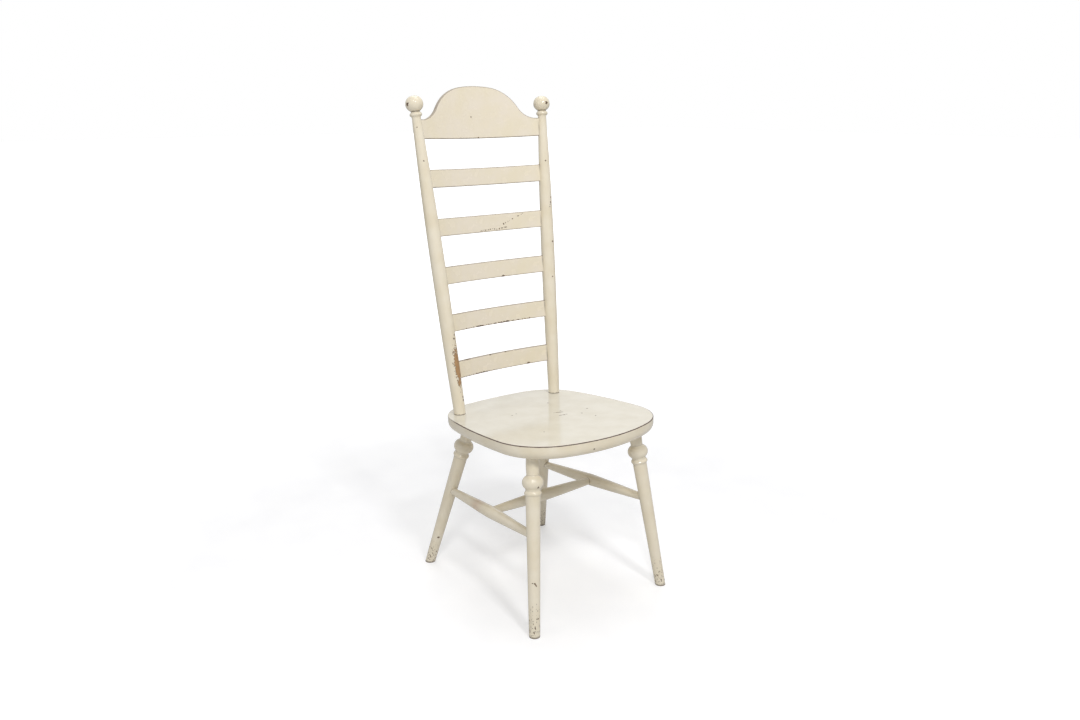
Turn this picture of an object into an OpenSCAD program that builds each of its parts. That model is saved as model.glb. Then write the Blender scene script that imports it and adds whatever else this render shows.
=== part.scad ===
// Tall ladder-back side chair in painted wood: a shaped plank seat on four
// splayed turned legs with an H of stretchers, and a back of two turned posts,
// five bent slats and an arched crest rail. Every joint is a glued tenon.
// The chair faces -Y, +Z is up, and the floor is at Z = 0.

/* [Seat] */
// Height of the seat's top at its front edge
seat_h = 440; // [400:5:500]
// Widest measure of the seat, side to side
seat_w = 424; // [380:2:480]
// Seat from front edge to back edge, along its top
seat_d = 464; // [420:2:520]
// Thickness of the seat plank
seat_t = 33; // [28:1:45]
// Fall of the seat towards the back, in degrees
seat_slope = 3; // [0:0.5:6]
// Distance of the seat's widest place behind its front edge
seat_widest_y = 170; // [120:5:260]
// Radius of the front edge in plan
seat_front_r = 360; // [300:10:700]
// Radius of the side edges in plan
seat_side_r = 950; // [500:10:1500]
// Radius of the back edge in plan
seat_back_r = 850; // [500:10:1500]
// Radius of the two front corners in plan
seat_front_corner_r = 135; // [60:5:150]
// Radius of the two back corners in plan
seat_back_corner_r = 118; // [60:5:150]
// Radius of the rounding under the seat's edge
seat_under_r = 20; // [8:1:24]

/* [Legs] */
// Distance of each front foot in from the seat's widest line, at the floor
front_feet_side = 15; // [0:1:30]
// Distance of each rear foot in from the seat's widest line, at the floor
rear_feet_side = 29; // [10:1:45]
// Distance of the front feet behind the seat's front edge
front_feet_y = 36; // [10:2:90]
// Distance of the rear feet behind the seat's back edge
rear_feet_past = 31; // [0:1:60]
// Distance of each front leg in from the seat's widest line, where it enters the seat
front_legs_side = 59; // [55:1:75]
// Distance of each rear leg in from the seat's widest line, where it enters the seat
rear_legs_side = 94; // [90:1:106]
// Distance of the front legs behind the seat's front edge, along the seat
front_legs_y = 101; // [80:1:140]
// Distance of the rear legs in front of the seat's back edge, along the seat
rear_legs_back = 67; // [62:1:90]
// Diameter of the leg at the floor
foot_d = 25; // [20:1:32]
// Diameter of the leg's shaft just under its collar
shaft_d = 33.5; // [28:0.5:40]
// Diameter of the leg's collar
collar_d = 39.5; // [36:0.5:46]
// Height of the leg's collar
collar_h = 11; // [6:1:16]
// Distance of the collar's middle below the seat
collar_drop = 85.5; // [84:0.5:95]
// Diameter of the leg's ball
ball_d = 48.5; // [42:0.5:56]
// Height of the leg's ball
ball_h = 33; // [26:1:34]
// Distance of the ball's middle below the seat
ball_drop = 61.5; // [50:0.5:62]
// Diameter of the leg's neck where it meets the seat
neck_d = 28; // [24:1:32]
// How far the neck swells at its middle, on the radius
neck_swell = 1.2; // [0:0.2:3]
// Diameter of the leg's tenon in the seat
leg_tenon_d = 22; // [16:1:24]
// Length of the leg's tenon in the seat
leg_tenon_len = 22; // [16:1:24]

/* [Stretchers] */
// Height of the side stretchers on the front legs
side_front_h = 223; // [150:1:280]
// Height of the side stretchers on the rear legs
side_rear_h = 206; // [150:1:280]
// Diameter of a side stretcher at its ends
side_end_d = 16.5; // [16:0.5:22]
// Diameter of a side stretcher at its middle
side_mid_d = 29.5; // [22:0.5:32]
// How round a side stretcher's swell is: 1 is a straight taper, 2 is fully rounded
side_round = 1.1; // [1:0.1:2]
// Diameter of the cross stretcher at its ends
cross_end_d = 17; // [16:0.5:22]
// Diameter of the cross stretcher at its middle
cross_mid_d = 29; // [22:0.5:32]
// How round the cross stretcher's swell is
cross_round = 1.3; // [1:0.1:2]
// Diameter of a side stretcher's tenons
side_tenon_d = 15; // [10:0.5:16]
// Diameter of the cross stretcher's tenons
cross_tenon_d = 13; // [8:0.5:14]
// How far each stretcher tenon stops short of the far piece's axis
tenon_stop = 2; // [0:0.5:5]

/* [Back] */
// Distance of the posts in front of the seat's back edge, along the seat
posts_back = 69; // [62:1:90]
// Distance of each post in from the seat's widest line, where it enters the seat
posts_side = 65; // [61:1:72]
// How far each finial's middle stands out past its post's foot
finials_out = 39; // [0:1:50]
// Distance of the finials' middle above the ends of the crest rail, up the back
finial_rise = 35; // [32:1:80]
// Lean of the back from upright, in degrees
back_rake = 8; // [0:0.5:15]
// Diameter of the post at the seat
post_foot_d = 28; // [24:0.5:32]
// Diameter of the post where it is thickest
post_max_d = 34.2; // [30:0.2:40]
// Diameter of the post under the finial
post_neck_d = 20.5; // [16:0.5:24]
// Height of the post's thickest place above the seat
post_max_up = 320; // [200:5:420]
// Diameter of the post's tenon in the seat
post_tenon_d = 20; // [14:1:22]
// Length of the post's tenon in the seat
post_tenon_len = 22; // [16:1:24]
// Diameter of the finial's ball
finial_d = 41.5; // [34:0.5:50]
// Height of the finial's ball
finial_h = 37; // [30:1:40]
// Diameter of the ring under the finial's ball
ring_d = 29; // [24:0.5:34]
// Height of the ring under the finial's ball
ring_h = 11; // [6:1:14]
// Diameter of the waist between the ball and the ring
waist_d = 20; // [14:1:24]

/* [Slats and crest] */
// Number of slats below the crest rail
slat_count = 5; // [3:1:5]
// Height of a slat's board
slat_h = 42; // [30:1:55]
// Thickness of the slats and the crest rail
slat_t = 8.5; // [6:0.5:10]
// Height of the lowest slat's lower edge above the seat
slat_first = 86; // [60:1:110]
// Distance from one slat to the next
slat_pitch = 114.5; // [90:0.5:116]
// Open height between the top slat and the crest rail
crest_gap = 71; // [50:1:80]
// Height of the crest rail at the posts
crest_end_h = 44; // [30:1:44]
// Height of the crest rail at its middle
crest_mid_h = 124; // [104:1:140]
// Radius of the crest's crown
crown_r = 310; // [250:10:400]
// Radius of the crest's two shoulders
shoulder_r = 110; // [60:5:140]
// Radius of the hollows beside the posts
hollow_r = 60; // [40:1:70]
// Radius of the bend of the slats and the crest, in plan
bend_r = 600; // [450:10:1200]
// How far each slat stops short of its post's axis
slat_stop = 2; // [0:0.5:4]

/* [Fits] */
// Glue room round every tenon, on the radius
glue_gap = 0.1; // [0.05:0.05:0.3]
// Room past the end of every tenon
end_gap = 1; // [0.5:0.5:3]

/* [Hidden] */
SLATS = [for (i = [1 : slat_count]) str("slat_", i)];
$fn = 96;
fine = 360;         // facets of the large plan arcs
right = -1;         // the sitter's right is at -X
left = 1;
steps = 24;         // straight steps along a swelling profile
arc_steps = 10;     // straight steps along an arc of an outline
under_steps = 5;    // straight steps round the seat's lower edge
arris = 1;          // softening of the seat's upper edge
neck_sink = 2;      // how far the foot of a leg's neck lies inside its ball
past = 1;           // how far a cut runs past what it cuts
reach = 1000;       // cuts that only have to be large
seam = 40;          // turn of each round piece's seam, away from its joints
paint = [0.89, 0.86, 0.80];

// Places in the seat and on the floor, from the seat's widest line and its two edges
front_feet_gap = seat_w - 2 * front_feet_side;
rear_feet_gap = seat_w - 2 * rear_feet_side;
rear_feet_y = seat_d + rear_feet_past;
front_legs_gap = seat_w - 2 * front_legs_side;
rear_legs_gap = seat_w - 2 * rear_legs_side;
rear_legs_y = seat_d - rear_legs_back;
posts_y = seat_d - posts_back;
posts_gap = seat_w - 2 * posts_side;

// Places in the back, in the back's own frame: X across, Z up the back
crest_up = slat_first + slat_pitch * (slat_count - 1) + slat_h + crest_gap;
finial_up = crest_up + crest_end_h + finial_rise;
function post_x(up) = posts_gap / 2 + finials_out * up / finial_up;
function slat_up(i) = slat_first + slat_pitch * (i - 1);
function bend_y(up) = sqrt(pow(bend_r, 2) - pow(post_x(up), 2));

// The chair's depth behind the seat's front edge, and how far the sloping seat's front
// face leans out past that edge: together they set the chair's middle on Y = 0
post_foot_y = posts_y * cos(seat_slope);
crest_back_y = post_foot_y + (crest_up + crest_mid_h) * sin(back_rake)
             + (bend_r + slat_t / 2 - bend_y(crest_up)) * cos(back_rake);
rear_foot_back_y = rear_feet_y + foot_d / 2;
depth = max(crest_back_y, rear_foot_back_y, seat_d * cos(seat_slope));
front_lean = (seat_t - seat_under_r) * sin(seat_slope);
front_y = (front_lean - depth) / 2;

// A point given in the seat's own frame: across, back from the front edge, up from the top
function seat_point(p) = [p.x, front_y + p.y * cos(seat_slope) + p.z * sin(seat_slope),
                          seat_h - p.y * sin(seat_slope) + p.z * cos(seat_slope)];
post_foot = seat_point([0, posts_y, 0]);
// A point given in the back's own frame
function back_point(p) = [p.x, post_foot.y + p.y * cos(back_rake) + p.z * sin(back_rake),
                          post_foot.z - p.y * sin(back_rake) + p.z * cos(back_rake)];

function front_foot(s) = [s * front_feet_gap / 2, front_y + front_feet_y, 0];
function rear_foot(s) = [s * rear_feet_gap / 2, front_y + rear_feet_y, 0];
function front_top(s) = seat_point([s * front_legs_gap / 2, front_legs_y, -seat_t]);
function rear_top(s) = seat_point([s * rear_legs_gap / 2, rear_legs_y, -seat_t]);
function post_base(s) = back_point([s * post_x(0), 0, 0]);
function finial(s) = back_point([s * post_x(finial_up), 0, finial_up]);
post_len = norm(finial(left) - post_base(left));

// Where the stretchers meet the legs and each other
function at_height(foot, top, h) = foot + (top - foot) * h / top.z;
function side_front(s) = at_height(front_foot(s), front_top(s), side_front_h);
function side_rear(s) = at_height(rear_foot(s), rear_top(s), side_rear_h);
function side_middle(s) = (side_front(s) + side_rear(s)) / 2;

// Where two circles meet, on the side that the turn picks
function meet(a, ra, b, rb, turn) =
    let (d = norm(b - a), k = (ra * ra - rb * rb + d * d) / (2 * d),
         h = sqrt(ra * ra - k * k), u = (b - a) / d)
    a + u * k + turn * h * [-u.y, u.x];

// Direction from a to b in plan, in degrees
function direction(a, b) = atan2(b.y - a.y, b.x - a.x);

// Points along an arc about c, without its last one
function arc(c, r, from, to) =
    [for (i = [0 : arc_steps - 1])
        let (turn = from + (to - from) * i / arc_steps) c + r * [cos(turn), sin(turn)]];

// The other half of an outline that starts on the middle line
function mirrored(half) = [for (i = [len(half) - 1 : -1 : 1]) [-half[i].x, half[i].y]];

// Stands its children at a, with their Z axis pointing at b
module along(a, b) {
    d = b - a;
    translate(a) rotate([0, acos(d.z / norm(d)), atan2(d.y, d.x)]) rotate([0, 0, seam])
        children();
}

module seat_frame() {
    translate([0, front_y, seat_h]) rotate([-seat_slope, 0, 0]) children();
}

module back_frame() {
    translate(post_foot) rotate([-back_rake, 0, 0]) children();
}

// ---- Seat ----

// Centres of the arcs that bound the seat in plan
front_c = [0, seat_front_r];
back_c = [0, seat_d - seat_back_r];
side_c = [seat_w / 2 - seat_side_r, seat_widest_y];
front_corner_c = meet(front_c, seat_front_r - seat_front_corner_r,
                      side_c, seat_side_r - seat_front_corner_r, 1);
back_corner_c = meet(back_c, seat_back_r - seat_back_corner_r,
                     side_c, seat_side_r - seat_back_corner_r, -1);

// Right half of the seat's outline, from the middle of its front, drawn in by inset
function half_outline(inset) =
    let (front_turn = direction(front_c, front_corner_c),
         side_start = direction(side_c, front_corner_c),
         side_end = direction(side_c, back_corner_c),
         back_turn = direction(back_c, back_corner_c))
    concat(arc(front_c, seat_front_r - inset, -90, front_turn),
           arc(front_corner_c, seat_front_corner_r - inset, front_turn, side_start),
           arc(side_c, seat_side_r - inset, side_start, side_end),
           arc(back_corner_c, seat_back_corner_r - inset, side_end, back_turn),
           arc(back_c, seat_back_r - inset, back_turn, 90));

// The seat's outline drawn in by inset, as a layer from the depth high down to low
module seat_layer(high, low, inset) {
    half = half_outline(inset);
    translate([0, 0, -low]) linear_extrude(low - high)
        polygon(concat(half, [[0, seat_d - inset]], mirrored(half)));
}

module seat_blank() {
    hull() {
        seat_layer(0, seat_t / 2, arris);
        for (i = [0 : under_steps])
            let (turn = 90 * i / under_steps)
            seat_layer(arris, seat_t - seat_under_r * (1 - sin(turn)),
                       seat_under_r * (1 - cos(turn)));
    }
}

// Round hole for a tenon that comes along the line from a point and in at the mouth
module socket(from, mouth, d, len) {
    dir = (mouth - from) / norm(mouth - from);
    start = mouth - dir * len;
    end = mouth + dir * (len + end_gap);
    along(start, end) cylinder(d = d + 2 * glue_gap, h = norm(end - start));
}

module seat() {
    color(paint) difference() {
        seat_frame() seat_blank();
        for (s = [right, left]) {
            socket(front_foot(s), front_top(s), leg_tenon_d, leg_tenon_len);
            socket(rear_foot(s), rear_top(s), leg_tenon_d, leg_tenon_len);
            socket(finial(s), post_base(s), post_tenon_d, post_tenon_len);
        }
    }
}

// ---- Legs ----

// A swelling radius: from r_end at the ends to r_mid where t is 0
function swell(r_mid, r_end, t) = r_mid - (r_mid - r_end) * t * t;

// The turned leg's outline, from its foot at Z = -over up to len + over, grown all round
module leg_section(len, over, grow = 0) {
    ball_z = len - ball_drop;
    collar_z = len - collar_drop;
    neck_z = ball_z + ball_h / 2 - neck_sink;
    slant = (shaft_d - foot_d) / 2 / collar_z;
    polygon(concat(
        [[0, -over], [foot_d / 2 - slant * over + grow, -over],
         [shaft_d / 2 + grow, collar_z], [shaft_d / 2 + grow, ball_z]],
        [for (i = [0 : steps])
            let (t = 2 * i / steps - 1)
            [swell(neck_d / 2 + neck_swell, neck_d / 2, t) + grow,
             neck_z + (len - neck_z) * i / steps]],
        [[neck_d / 2 + grow, len + over], [0, len + over]]));
    translate([collar_d / 2 - collar_h / 2, collar_z]) circle(collar_h / 2 + grow);
    translate([0, collar_z - collar_h / 2 - grow])
        square([collar_d / 2 - collar_h / 2, collar_h + 2 * grow]);
    translate([ball_d / 2 - ball_h / 2, ball_z]) circle(ball_h / 2 + grow);
    translate([0, ball_z - ball_h / 2 - grow])
        square([ball_d / 2 - ball_h / 2, ball_h + 2 * grow]);
}

// Everything between the floor and the seat's underside
module under_seat() {
    near = seat_point([0, 0, -seat_t]);
    fall = tan(seat_slope);
    rotate([90, 0, 90]) translate([0, 0, -reach / 2]) linear_extrude(reach)
        polygon([[-reach, 0], [reach, 0], [reach, near.z - (reach - near.y) * fall],
                 [-reach, near.z + (reach + near.y) * fall]]);
}

// A leg with no tenon or sockets, level with the floor and with the seat's underside
module leg_blank(foot, top, grow = 0) {
    intersection() {
        along(foot, top) rotate_extrude() intersection() {
            leg_section(norm(top - foot), foot_d, grow);
            translate([0, -reach]) square(2 * reach);
        }
        under_seat();
    }
}

// A round tenon at the end b of the line from a, len long past b, and root back of it
module tenon(a, b, d, len, root) {
    dir = (b - a) / norm(b - a);
    along(b - dir * root, b + dir * len) cylinder(d = d, h = root + len);
}

// A leg, with its tenon for the seat and its socket for a side stretcher
module leg(foot, top, joint, partner) {
    color(paint) difference() {
        union() {
            leg_blank(foot, top);
            tenon(foot, top, leg_tenon_d, leg_tenon_len, leg_tenon_len);
        }
        stretcher_socket(partner, joint, side_tenon_d);
    }
}

// ---- Stretchers ----

// Bore for a stretcher's tenon, from outside the piece to the end gap past the tenon,
// which comes from a and stops short of this piece's axis at b
module stretcher_socket(a, b, d) {
    dir = (b - a) / norm(b - a);
    start = b - dir * collar_d;
    end = b + dir * (end_gap - tenon_stop);
    along(start, end) cylinder(d = d + 2 * glue_gap, h = norm(end - start));
}

// A turned bar that swells to its middle, from a to b, without its tenons
module bar_blank(a, b, end_d, mid_d, roundness, grow = 0) {
    len = norm(b - a);
    along(a, b) rotate_extrude()
        polygon(concat([[0, 0]],
            [for (i = [0 : steps])
                let (t = abs(2 * i / steps - 1))
                [(mid_d - (mid_d - end_d) * pow(t, roundness)) / 2 + grow, len * i / steps]],
            [[0, len]]));
}

// The two tenons of a bar that runs from axis a to axis b
module bar_tenons(a, b, d) {
    root = collar_d;
    tenon(a, b, d, -tenon_stop, root);
    tenon(b, a, d, -tenon_stop, root);
}

module side_stretcher(s) {
    a = side_front(s);
    b = side_rear(s);
    color(paint) difference() {
        union() {
            difference() {
                bar_blank(a, b, side_end_d, side_mid_d, side_round);
                leg_blank(front_foot(s), front_top(s), glue_gap);
                leg_blank(rear_foot(s), rear_top(s), glue_gap);
            }
            bar_tenons(a, b, side_tenon_d);
        }
        stretcher_socket(side_middle(-s), side_middle(s), cross_tenon_d);
    }
}

module cross_stretcher() {
    a = side_middle(right);
    b = side_middle(left);
    color(paint) union() {
        difference() {
            bar_blank(a, b, cross_end_d, cross_mid_d, cross_round);
            for (s = [right, left])
                bar_blank(side_front(s), side_rear(s), side_end_d, side_mid_d, side_round,
                    glue_gap);
        }
        bar_tenons(a, b, cross_tenon_d);
    }
}

// ---- Back ----

// The turned post's outline, from under the seat's top up to the finial
module post_section() {
    ball_r = finial_h / 2;
    neck_z = post_len - ball_r - ring_h;
    polygon(concat(
        [[0, -post_foot_d], [post_foot_d / 2, -post_foot_d]],
        [for (i = [0 : steps])
            [swell(post_max_d, post_foot_d, 1 - i / steps) / 2, post_max_up * i / steps]],
        [for (i = [1 : steps])
            [swell(post_max_d, post_neck_d, i / steps) / 2,
             post_max_up + (neck_z - post_max_up) * i / steps]],
        [[waist_d / 2, neck_z], [waist_d / 2, post_len], [0, post_len]]));
    translate([ring_d / 2 - ring_h / 2, neck_z + ring_h / 2]) circle(ring_h / 2);
    translate([0, neck_z]) square([ring_d / 2 - ring_h / 2, ring_h]);
    translate([finial_d / 2 - ball_r, post_len]) circle(ball_r);
    translate([0, post_len - ball_r]) square([finial_d / 2 - ball_r, finial_h]);
}

module back_post(s) {
    color(paint) difference() {
        union() {
            difference() {
                along(post_base(s), finial(s)) rotate_extrude() intersection() {
                    post_section();
                    translate([0, -reach]) square(2 * reach);
                }
                seat_frame() translate([-reach / 2, -reach / 2, -reach]) cube(reach);
            }
            tenon(finial(s), post_base(s), post_tenon_d, post_tenon_len, post_tenon_len);
        }
        back_frame() {
            for (i = [1 : slat_count]) board(slat_up(i), slat_h, glue_gap);
            board(crest_up, crest_end_h, glue_gap);
        }
    }
}

// ---- Slats and crest ----

// A bent board across the back at a height up it, housed at both ends in the posts
module board(up, h, grow = 0) {
    low = up - grow;
    high = up + h + grow;
    // a housing is deeper than its board by the end gap
    stop = grow > 0 ? slat_stop - end_gap : slat_stop;
    intersection() {
        translate([0, -bend_y(up), low])
            difference() {
                cylinder(r = bend_r + slat_t / 2 + grow, h = high - low, $fn = fine);
                translate([0, 0, -past])
                    cylinder(r = bend_r - slat_t / 2 - grow, h = high - low + 2 * past, $fn = fine);
            }
        translate([0, bend_r / 4, 0]) rotate([90, 0, 0]) linear_extrude(bend_r / 2)
            polygon([[-post_x(low) + stop, low], [post_x(low) - stop, low],
                     [post_x(high) - stop, high], [-post_x(high) + stop, high]]);
    }
}

module slat(i) {
    color(paint) back_frame() board(slat_up(i), slat_h);
}

// Centres of the arcs that make half of the crest's top edge
crown_c = [0, crest_mid_h - crown_r];
hollow_c = [post_x(crest_up) - post_neck_d / 2, crest_end_h + hollow_r];
shoulder_c = meet(crown_c, crown_r - shoulder_r, hollow_c, shoulder_r + hollow_r, 1);

// Half of the crest's outline, from the middle of its top down to a post
function half_crest() =
    let (crown_end = direction(crown_c, shoulder_c),
         shoulder_end = direction(shoulder_c, hollow_c))
    concat(arc(crown_c, crown_r, 90, crown_end),
           arc(shoulder_c, shoulder_r, crown_end, shoulder_end),
           arc(hollow_c, hollow_r, shoulder_end + 180, 270),
           [[hollow_c.x, crest_end_h], [reach, crest_end_h], [reach, -past]]);

module crest_rail() {
    half = half_crest();
    color(paint) back_frame() intersection() {
        board(crest_up, crest_mid_h);
        translate([0, bend_r / 4, crest_up]) rotate([90, 0, 0]) linear_extrude(bend_r / 2)
            polygon(concat(half, mirrored(half)));
    }
}

seat();
leg(front_foot(right), front_top(right), side_front(right), side_rear(right));  // front_leg_right
leg(front_foot(left), front_top(left), side_front(left), side_rear(left));  // front_leg_left
leg(rear_foot(right), rear_top(right), side_rear(right), side_front(right));  // rear_leg_right
leg(rear_foot(left), rear_top(left), side_rear(left), side_front(left));  // rear_leg_left
side_stretcher(right);  // side_stretcher_right
side_stretcher(left);  // side_stretcher_left
cross_stretcher();
back_post(right);  // back_post_right
back_post(left);  // back_post_left
for (i = [1 : slat_count]) slat(i);
crest_rail();
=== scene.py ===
# %% [markdown]
# # A tall ladder-back chair in old cream paint
#
# The chair has sixteen wooden pieces: a shaped plank seat, four turned legs, three
# turned stretchers, two turned posts with ball finials, five bent slats and an arched
# crest rail. The imported model is loaded first. Its seat fixes where the front edge is,
# and every piece is then made again here with finer edges and paint, in place of the
# model's own, which is hidden.

# %% Load the frame
import random
from math import cos, hypot, pi, radians, sin, sqrt

import bmesh
import bpy
from mathutils import Matrix, Vector


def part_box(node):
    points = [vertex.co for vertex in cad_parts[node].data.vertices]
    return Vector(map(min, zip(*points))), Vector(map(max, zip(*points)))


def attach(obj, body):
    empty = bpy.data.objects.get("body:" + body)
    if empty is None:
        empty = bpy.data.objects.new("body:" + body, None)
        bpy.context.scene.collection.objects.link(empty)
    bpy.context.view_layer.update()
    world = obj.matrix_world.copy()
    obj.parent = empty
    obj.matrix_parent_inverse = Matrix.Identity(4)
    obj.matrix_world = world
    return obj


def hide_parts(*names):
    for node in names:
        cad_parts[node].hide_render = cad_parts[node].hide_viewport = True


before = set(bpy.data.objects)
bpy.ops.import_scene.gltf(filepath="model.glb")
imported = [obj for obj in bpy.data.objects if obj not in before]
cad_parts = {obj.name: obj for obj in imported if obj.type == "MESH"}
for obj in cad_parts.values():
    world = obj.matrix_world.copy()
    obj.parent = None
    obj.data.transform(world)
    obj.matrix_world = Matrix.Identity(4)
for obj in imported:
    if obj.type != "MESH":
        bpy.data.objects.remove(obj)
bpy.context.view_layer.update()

# %% [markdown]
# ## Two tilted frames
#
# A chair maker sets out from the seat. Its top falls a little towards the back, and the
# back leans away from it. It is easiest to give each piece's place in the frame it was
# set out in, and to let a matrix carry it to the floor's frame. All lengths are metres.

# %% The seat's frame and the back's frame
seat_top = 0.440            # the top's height at its front edge
seat_width = 0.424
seat_depth = 0.464
seat_thick = 0.033
under_round = 0.020         # rounding under the seat's edge
seat_fall = radians(3)
back_lean = radians(8)

front_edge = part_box("seat")[0].y + (seat_thick - under_round) * sin(seat_fall)
seat_frame = Matrix.Translation((0, front_edge, seat_top)) @ Matrix.Rotation(-seat_fall, 4, "X")

post_foot = Vector((0.147, 0.395, 0))       # in the seat's frame, on one side
back_frame = (Matrix.Translation(seat_frame @ Vector((0, post_foot.y, 0)))
              @ Matrix.Rotation(-back_lean, 4, "X"))
finial_up = 0.736                           # the finials' middle, up the back
finial_out = 0.186


def post_half_gap(up):
    """Half the distance between the posts' axes, at a height up the back"""
    return post_foot.x + (finial_out - post_foot.x) * up / finial_up


print("front edge at y =", round(front_edge, 4))

# %% [markdown]
# ## From a mesh to a piece of the chair
#
# Paint follows the wood, so each piece keeps its maker's coordinates: a vertex attribute
# called `lay` holds where each point was in the piece's own frame, before it was bent
# and set in place. Two more attributes steer the wear. `rim` is the distance in
# millimetres from the nearest sharp edge, where paint chips first. The other is 1 in the
# grooves and joints that hold dirt, and at the bottom of each foot, where it is painted shade.

# %% Turn a finished bmesh into a piece
far_from_rim = 20.0
smooth_below = radians(38)
pieces = {}


def start_layers(bm):
    """Adds the three attributes, with lay as the points are now"""
    lay = bm.verts.layers.float_vector.new("lay")
    rim = bm.verts.layers.float.new("rim")
    bm.verts.layers.float.new("grime_and_shade")
    for v in bm.verts:
        v[lay] = v.co
        v[rim] = far_from_rim


def make_piece(bm, node):
    """Makes the bmesh an object that stands for a CAD node and rides with it"""
    bmesh.ops.recalc_face_normals(bm, faces=bm.faces)
    mesh = bpy.data.meshes.new("painted_" + node)
    bm.to_mesh(mesh)
    bm.free()
    mesh.shade_smooth()
    mesh.set_sharp_from_angle(angle=smooth_below)
    piece = bpy.data.objects.new(mesh.name, mesh)
    bpy.context.scene.collection.objects.link(piece)
    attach(piece, "root")
    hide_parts(node)
    pieces[node] = piece
    print(piece.name, len(mesh.vertices), "vertices")


# %% [markdown]
# ## Turning on the lathe
#
# Legs, posts and stretchers come off a lathe. Blender's lathe is the spin operator: half
# an outline goes once round the axis. The outline here is a radius for each height, the
# largest of the simple shapes that cover that height, as a turner leaves the most wood
# that any bead needs. Averaging it over two millimetres or so fills the grooves, as
# paint does.

# %% The lathe
turns = 96
paint_fill = 0.0006         # how far paint rounds a groove, along the axis
groove_depth = 0.0010       # a groove this deep is full of grime
groove_reach = 0.003        # how far up and down the wood beside a groove is looked for
bead_step = 0.0008          # rings this close together where a piece has fine detail


def steps(low, high, about):
    """Evenly spaced values from low to high, about that far apart"""
    count = max(1, round((high - low) / about))
    return [low + (high - low) * i / count for i in range(count + 1)]


def bead(z, middle, height, width):
    """Radius of a rounded bead of that full width and height"""
    rise = (height / 2) ** 2 - (z - middle) ** 2
    return width / 2 - height / 2 + sqrt(rise) if rise > 0 else 0


def swell(middle, end, t):
    """A radius that is middle where t is 0 and end where t is 1 or -1"""
    return middle - (middle - end) * t * t


def softened(radius, z):
    """The radius averaged over a short length"""
    return sum(radius(z + k * paint_fill) for k in (-2, -1, 0, 1, 2)) / 5


def turned(radius, heights, count=turns):
    """A closed turned shape on the Z axis"""
    bm = bmesh.new()
    rings = [(softened(radius, z), z) for z in heights]
    outline = [(0, heights[0])] + rings + [(0, heights[-1])]
    points = [bm.verts.new((r, 0, z)) for r, z in outline]
    edges = [bm.edges.new(pair) for pair in zip(points, points[1:])]
    bmesh.ops.spin(bm, geom=points + edges, axis=(0, 0, 1), angle=2 * pi, steps=count,
                   use_merge=True)
    bmesh.ops.remove_doubles(bm, verts=bm.verts, dist=1e-6)
    start_layers(bm)
    grime_and_shade = bm.verts.layers.float["grime_and_shade"]
    for v in bm.verts:
        beside_it = min(radius(v.co.z - groove_reach), radius(v.co.z + groove_reach))
        depth = beside_it - hypot(v.co.x, v.co.y)
        v[grime_and_shade] = min(1, max(0, depth / groove_depth))
    return bm


def stand(start, end):
    """The matrix that stands the Z axis at start, pointing at end"""
    return Matrix.Translation(start) @ (end - start).to_track_quat("Z", "Y").to_matrix().to_4x4()


def cut(bm, point, normal):
    """Cuts away what lies past a plane, and closes the end"""
    whole = bm.verts[:] + bm.edges[:] + bm.faces[:]
    bmesh.ops.bisect_plane(bm, geom=whole, plane_co=point, plane_no=normal, clear_outer=True)
    open_edges = [e for e in bm.edges if e.is_boundary]
    bmesh.ops.holes_fill(bm, edges=open_edges)


# %% [markdown]
# ## The legs
#
# Each leg widens upwards from its foot to a collar, then carries a ball and a neck that
# swells a little before it enters the seat. The four are alike but for their length and
# splay, so one function makes them all. A leg is cut level with the floor at its foot.

# %% Four legs
foot_width = 0.025
foot_shade, shade_reach = 0.003, 1.6      # painted shade at the foot's bottom edge: full over the first, and gone that many times as far up
                                        # is gone that many times as far up
shaft_width = 0.0335
collar_drop, collar_height, collar_width = 0.0855, 0.011, 0.0395
ball_drop, ball_height, ball_width = 0.0615, 0.033, 0.0485
neck_width, neck_swelling = 0.028, 0.0012
into_seat = 0.004           # how far a piece runs on into the seat, out of sight
foot_zone, foot_step = 0.020, 0.0015    # rings are close at the foot, then wider apart
scuff_zone, scuff_step = 0.100, 0.004
shaft_step = 0.008

feet = {"front": Vector((0.197, front_edge + 0.036, 0)),
        "rear": Vector((0.183, front_edge + 0.495, 0))}
leg_tops = {"front": Vector((0.153, 0.101, -seat_thick)),
            "rear": Vector((0.118, 0.397, -seat_thick))}
sides = {"right": -1, "left": 1}


def mirrored(point, side):
    return Vector((point.x * side, point.y, point.z))


def leg_ends(row, side):
    return mirrored(feet[row], side), seat_frame @ mirrored(leg_tops[row], side)


def leg_radius(length):
    """The leg's radius as a function of the height along it"""
    collar_z, ball_z = length - collar_drop, length - ball_drop
    neck_z = ball_z + ball_height / 2

    def radius(z):
        shaft = foot_width / 2 + (shaft_width - foot_width) / 2 * min(z / collar_z, 1)
        t = 2 * (z - neck_z) / (length - neck_z) - 1
        neck = swell(neck_width / 2 + neck_swelling, neck_width / 2, max(-1, min(t, 1)))
        plain = shaft if z < ball_z else neck
        return max(plain, bead(z, collar_z, collar_height, collar_width),
                   bead(z, ball_z, ball_height, ball_width))

    return radius


leg_length = {}
for row in ("front", "rear"):
    for side_name, side in sides.items():
        foot, top = leg_ends(row, side)
        length = leg_length[row] = (top - foot).length
        ornament = length - collar_drop - collar_height
        heights = (steps(-foot_width, foot_zone, foot_step)
                   + steps(foot_zone, scuff_zone, scuff_step)[1:]
                   + steps(scuff_zone, ornament, shaft_step)[1:]
                   + steps(ornament, length + into_seat, bead_step)[1:])
        bm = turned(leg_radius(length), heights)
        bm.transform(stand(foot, top))
        cut(bm, (0, 0, 0), (0, 0, -1))
        # painted shade: the lowest few millimetres of each foot are darkened, as the shade along
        # its bottom edge
        grime_and_shade = bm.verts.layers.float["grime_and_shade"]
        for v in bm.verts:
            v[grime_and_shade] = max(v[grime_and_shade], min(1, shade_reach - v.co.z / foot_shade))
        make_piece(bm, f"{row}_leg_{side_name}")

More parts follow.
